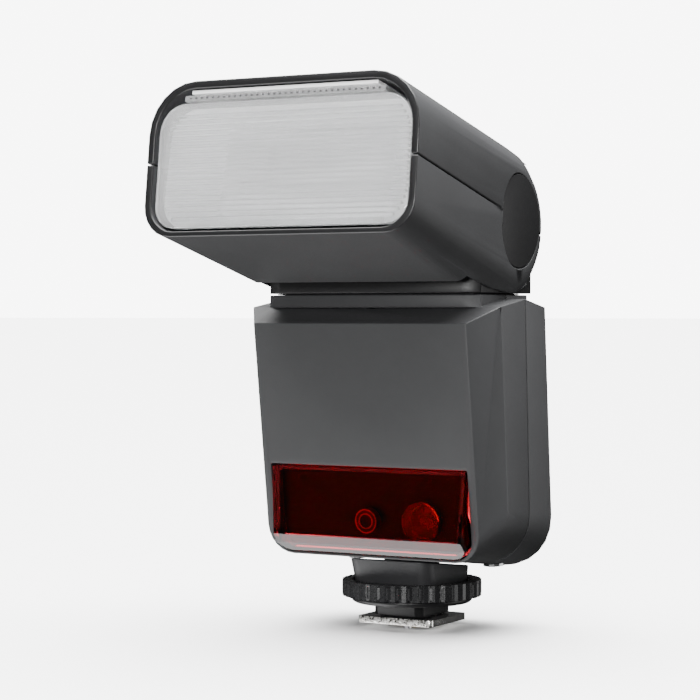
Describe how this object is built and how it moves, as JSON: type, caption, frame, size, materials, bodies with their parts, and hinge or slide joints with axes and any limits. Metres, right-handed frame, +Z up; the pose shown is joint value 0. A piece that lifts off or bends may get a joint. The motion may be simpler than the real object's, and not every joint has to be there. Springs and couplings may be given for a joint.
{
  "type": "speedlight flash",
  "caption": "Shoe-mount speedlight flash: a lensed zoom head that tilts and swivels on an upright battery body, over a ribbed lock ring and a metal shoe foot.",
  "frame": {"origin": "centre of the shoe foot's underside", "axes": "+Z up, away from the camera's shoe; the light leaves towards -Y with the head straight ahead; +X is to the right of someone behind the flash"},
  "size_m": [0.0634, 0.0752, 0.1159],
  "materials": {
    "housing": "fine matte texture, dark grey",
    "trim": "satin black",
    "ring": "satin-gloss black, ribbed",
    "pedestal": "matte dark grey",
    "nickel": "bright nickel plate, grainy sawn edges",
    "steel": "brushed",
    "brass": "bright",
    "red_window": "clear deep red, polished",
    "clear": "clear, polished, prismatic on the flash lens",
    "diffuser": "clear with a dimpled face",
    "card": "matte white",
    "mirror": "bright reflector sheet",
    "board": "green solder resist",
    "key": "matte mid grey",
    "rubber": "matte",
    "display": "liquid-crystal panel",
    "cell": "matte",
    "sleeve": "shrink sleeve"
  },
  "bodies": {
    "body": {"body_front_cover": "housing", "body_rear_cover": "housing", "af_window": "red_window", "body_screw_1": "steel", "body_screw_2": "steel", "display_window": "clear", "display_module": "display", "main_board": "board", "battery_tray": "trim", "battery_pack": "cell", "battery_contacts": "brass", "main_capacitor": "sleeve", "charge_transformer": "cell", "usb_port": "steel", "window_carrier": "trim", "optical_sensor": "key", "assist_lamp_lens": "clear", "assist_lamp_led": "red_window", "foot_plate": "nickel", "foot_block": "trim", "pedestal": "pedestal", "signal_contact_1": "brass", "signal_contact_2": "brass", "signal_contact_3": "brass", "signal_contact_4": "brass"},
    "knuckle": {"swivel_knuckle": "trim", "swivel_retainer": "steel", "tilt_detent_spring": "steel"},
    "head": {"head_top_cover": "housing", "head_bottom_cover": "housing", "pivot_cap_left": "trim", "pivot_cap_right": "trim", "tilt_shaft_left": "steel", "tilt_shaft_right": "steel", "tilt_detent_disc": "steel", "front_lens": "clear", "guide_rod_1": "steel", "guide_rod_2": "steel", "zoom_motor": "steel", "trigger_coil": "sleeve"},
    "zoom_carriage": {"zoom_carriage": "trim", "reflector": "mirror", "flash_tube": "clear"},
    "zoom_lead_screw": {"zoom_lead_screw": "steel"},
    "catchlight_card": {"catchlight_card": "card"},
    "wide_panel": {"wide_panel": "diffuser"},
    "battery_door": {"battery_door": "housing"},
    "battery_latch": {"battery_latch": "key"},
    "usb_cover": {"usb_cover": "rubber"},
    "function_button_1": {"function_button_1": "key"},
    "function_button_2": {"function_button_2": "key"},
    "function_button_3": {"function_button_3": "key"},
    "function_button_4": {"function_button_4": "key"},
    "test_button": {"test_button": "key"},
    "power_switch": {"power_switch": "key"},
    "control_dial": {"control_dial": "key"},
    "set_button": {"set_button": "key"},
    "lock_ring": {"lock_ring": "ring"},
    "lock_pin": {"lock_pin": "steel"},
    "centre_contact": {"centre_contact": "brass"}
  },
  "joints": [
    {"name": "head_swivel", "type": "hinge", "parent": "body", "child": "knuckle", "pos_m": [0, -0.0065, 0.0715], "axis": [0, 0, 1], "range_deg": [-150, 180]},
    {"name": "head_tilt", "type": "hinge", "parent": "knuckle", "child": "head", "pos_m": [0, -0.0048, 0.08691], "axis": [-1, 0, 0], "range_deg": [-7, 90]},
    {"name": "wide_panel_slide", "type": "slide", "parent": "head", "child": "wide_panel", "axis": [0, -0.9767, 0.2147], "range_m": [0, 0.03]},
    {"name": "catchlight_slide", "type": "slide", "parent": "head", "child": "catchlight_card", "axis": [0, -0.9767, 0.2147], "range_m": [0, 0.03]},
    {"name": "zoom_slide", "type": "slide", "parent": "head", "child": "zoom_carriage", "axis": [0, 0.9767, -0.2147], "range_m": [0, 0.01]},
    {"name": "zoom_screw_spin", "type": "hinge", "parent": "head", "child": "zoom_lead_screw", "pos_m": [0.0234, -0.0253, 0.08681], "axis": [0, 0.9767, -0.2147], "range_deg": [0, 720]},
    {"name": "battery_door_hinge", "type": "hinge", "parent": "body", "child": "battery_door", "pos_m": [-0.0287, -0.00168, 0.02481], "axis": [0, -0.9966, -0.0819], "range_deg": [0, 95]},
    {"name": "battery_latch_slide", "type": "slide", "parent": "battery_door", "child": "battery_latch", "axis": [0.0175, 0.0819, -0.9965], "range_m": [0, 0.0015], "stiffness_N_per_m": 150},
    {"name": "usb_cover_hinge", "type": "hinge", "parent": "body", "child": "usb_cover", "pos_m": [-0.02954, -0.00448, 0.05577], "axis": [0, -0.9966, -0.0819], "range_deg": [0, 110]},
    {"name": "function_button_1_press", "type": "slide", "parent": "body", "child": "function_button_1", "axis": [0, -0.9966, -0.0819], "range_m": [0, 0.0007], "stiffness_N_per_m": 300},
    {"name": "function_button_2_press", "type": "slide", "parent": "body", "child": "function_button_2", "axis": [0, -0.9966, -0.0819], "range_m": [0, 0.0007], "stiffness_N_per_m": 300},
    {"name": "function_button_3_press", "type": "slide", "parent": "body", "child": "function_button_3", "axis": [0, -0.9966, -0.0819], "range_m": [0, 0.0007], "stiffness_N_per_m": 300},
    {"name": "function_button_4_press", "type": "slide", "parent": "body", "child": "function_button_4", "axis": [0, -0.9966, -0.0819], "range_m": [0, 0.0007], "stiffness_N_per_m": 300},
    {"name": "test_button_press", "type": "slide", "parent": "body", "child": "test_button", "axis": [0, -0.9966, -0.0819], "range_m": [0, 0.0007], "stiffness_N_per_m": 300},
    {"name": "set_button_press", "type": "slide", "parent": "body", "child": "set_button", "axis": [0, -0.9966, -0.0819], "range_m": [0, 0.0007], "stiffness_N_per_m": 300},
    {"name": "power_switch_slide", "type": "slide", "parent": "body", "child": "power_switch", "axis": [1, 0, 0], "range_m": [0, 0.004]},
    {"name": "control_dial_turn", "type": "hinge", "parent": "body", "child": "control_dial", "pos_m": [0, 0.01456, 0.03164], "axis": [0, 0.9966, 0.0819], "continuous": true},
    {"name": "lock_ring_turn", "type": "hinge", "parent": "body", "child": "lock_ring", "pos_m": [0, 0, 0.0075], "axis": [0, 0, 1], "range_deg": [-60, 0]},
    {"name": "lock_pin_slide", "type": "slide", "parent": "body", "child": "lock_pin", "axis": [0, 0, 1], "range_m": [0, 0.0012]},
    {"name": "centre_contact_slide", "type": "slide", "parent": "body", "child": "centre_contact", "axis": [0, 0, 1], "range_m": [0, 0.0005], "stiffness_N_per_m": 300}
  ],
  "couplings": [
    {"joint": "zoom_screw_spin", "follows": "zoom_slide", "rad_per_m": 1256.6},
    {"joint": "lock_pin_slide", "follows": "lock_ring_turn", "m_per_rad": -0.001145}
  ]
}
